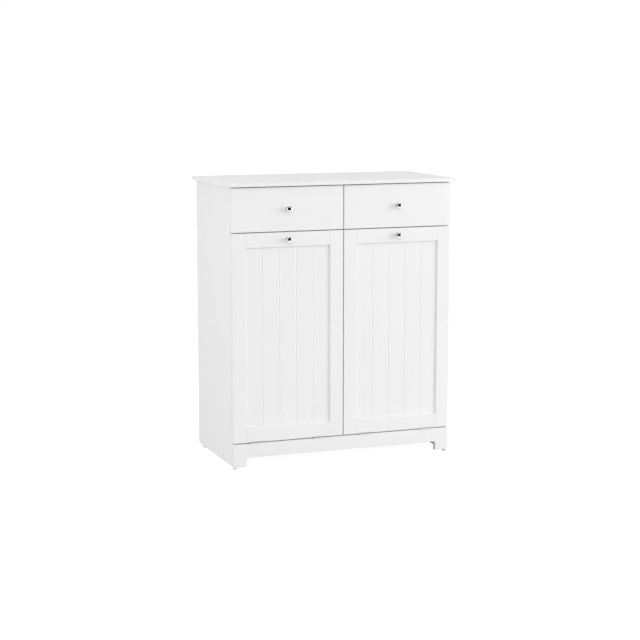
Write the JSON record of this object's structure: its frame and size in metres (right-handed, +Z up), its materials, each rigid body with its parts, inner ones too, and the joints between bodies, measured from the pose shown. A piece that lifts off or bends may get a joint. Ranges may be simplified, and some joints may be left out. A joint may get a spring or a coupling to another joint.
{
  "type": "laundry cabinet",
  "caption": "White free-standing laundry cabinet with an overhanging top, drawers side by side and grooved tilt-out doors below that carry lift-out cloth bags.",
  "frame": {"origin": "On the floor, in the middle of the width and of the whole depth, knobs included", "axes": "+X to the right seen from the front, +Y to the back, +Z up; the doors and drawers face -Y"},
  "size_m": [0.77, 0.408, 0.903],
  "materials": {
    "white_paint": "fibreboard with satin white paint",
    "hardboard": "thin hardboard, white on its faces",
    "timber": "plain planed hardwood",
    "zinc": "bright zinc plating",
    "nickel": "satin nickel plating",
    "chrome": "polished chrome plating",
    "plastic": "moulded light grey plastic",
    "cotton": "undyed woven cotton"
  },
  "bodies": {
    "cabinet": {"top_panel": "white_paint", "left_side_panel": "white_paint", "right_side_panel": "white_paint", "centre_partition": "white_paint", "drawer_shelf": "white_paint", "bottom_panel": "white_paint", "rear_rail": "white_paint", "back_panel": "hardboard", "front_apron": "white_paint", "corner_blocks": "timber", "foot_glides": "plastic", "carcass_dowels": "timber", "drawer_runners": "timber", "drawer_stops": "plastic", "runner_screws": "zinc", "back_pins": "zinc", "magnet_catches": "plastic", "stop_pegs": "timber", "hinge_fixed_leaves": "nickel", "hinge_pins": "nickel"},
    "left_drawer": {"left_drawer_front": "white_paint", "left_drawer_outer_side": "white_paint", "left_drawer_inner_side": "white_paint", "left_drawer_back": "white_paint", "left_drawer_bottom": "hardboard", "left_drawer_knob": "chrome", "left_drawer_fixings": "zinc"},
    "left_bin": {"left_door_outer_stile": "white_paint", "left_door_inner_stile": "white_paint", "left_door_top_rail": "white_paint", "left_door_bottom_rail": "white_paint", "left_door_panel": "white_paint", "left_door_hinge_leaves": "nickel", "left_door_knob": "chrome", "left_door_fixings": "zinc", "left_bin_outer_side": "white_paint", "left_bin_inner_side": "white_paint", "left_bin_tie_board": "white_paint", "left_bag_rods": "timber", "left_bag": "cotton"},
    "right_drawer": {"right_drawer_front": "white_paint", "right_drawer_outer_side": "white_paint", "right_drawer_inner_side": "white_paint", "right_drawer_back": "white_paint", "right_drawer_bottom": "hardboard", "right_drawer_knob": "chrome", "right_drawer_fixings": "zinc"},
    "right_bin": {"right_door_outer_stile": "white_paint", "right_door_inner_stile": "white_paint", "right_door_top_rail": "white_paint", "right_door_bottom_rail": "white_paint", "right_door_panel": "white_paint", "right_door_hinge_leaves": "nickel", "right_door_knob": "chrome", "right_door_fixings": "zinc", "right_bin_outer_side": "white_paint", "right_bin_inner_side": "white_paint", "right_bin_tie_board": "white_paint", "right_bag_rods": "timber", "right_bag": "cotton"}
  },
  "joints": [
    {"name": "left_drawer_slide", "type": "slide", "parent": "cabinet", "child": "left_drawer", "axis": [0, -1, 0], "range_m": [0, 0.24]},
    {"name": "right_drawer_slide", "type": "slide", "parent": "cabinet", "child": "right_drawer", "axis": [0, -1, 0], "range_m": [0, 0.24]},
    {"name": "left_bin_tilt", "type": "hinge", "parent": "cabinet", "child": "left_bin", "pos_m": [-0.18575, -0.18, 0.0835], "axis": [1, 0, 0], "range_deg": [0, 35]},
    {"name": "right_bin_tilt", "type": "hinge", "parent": "cabinet", "child": "right_bin", "pos_m": [0.18575, -0.18, 0.0835], "axis": [1, 0, 0], "range_deg": [0, 35]}
  ]
}
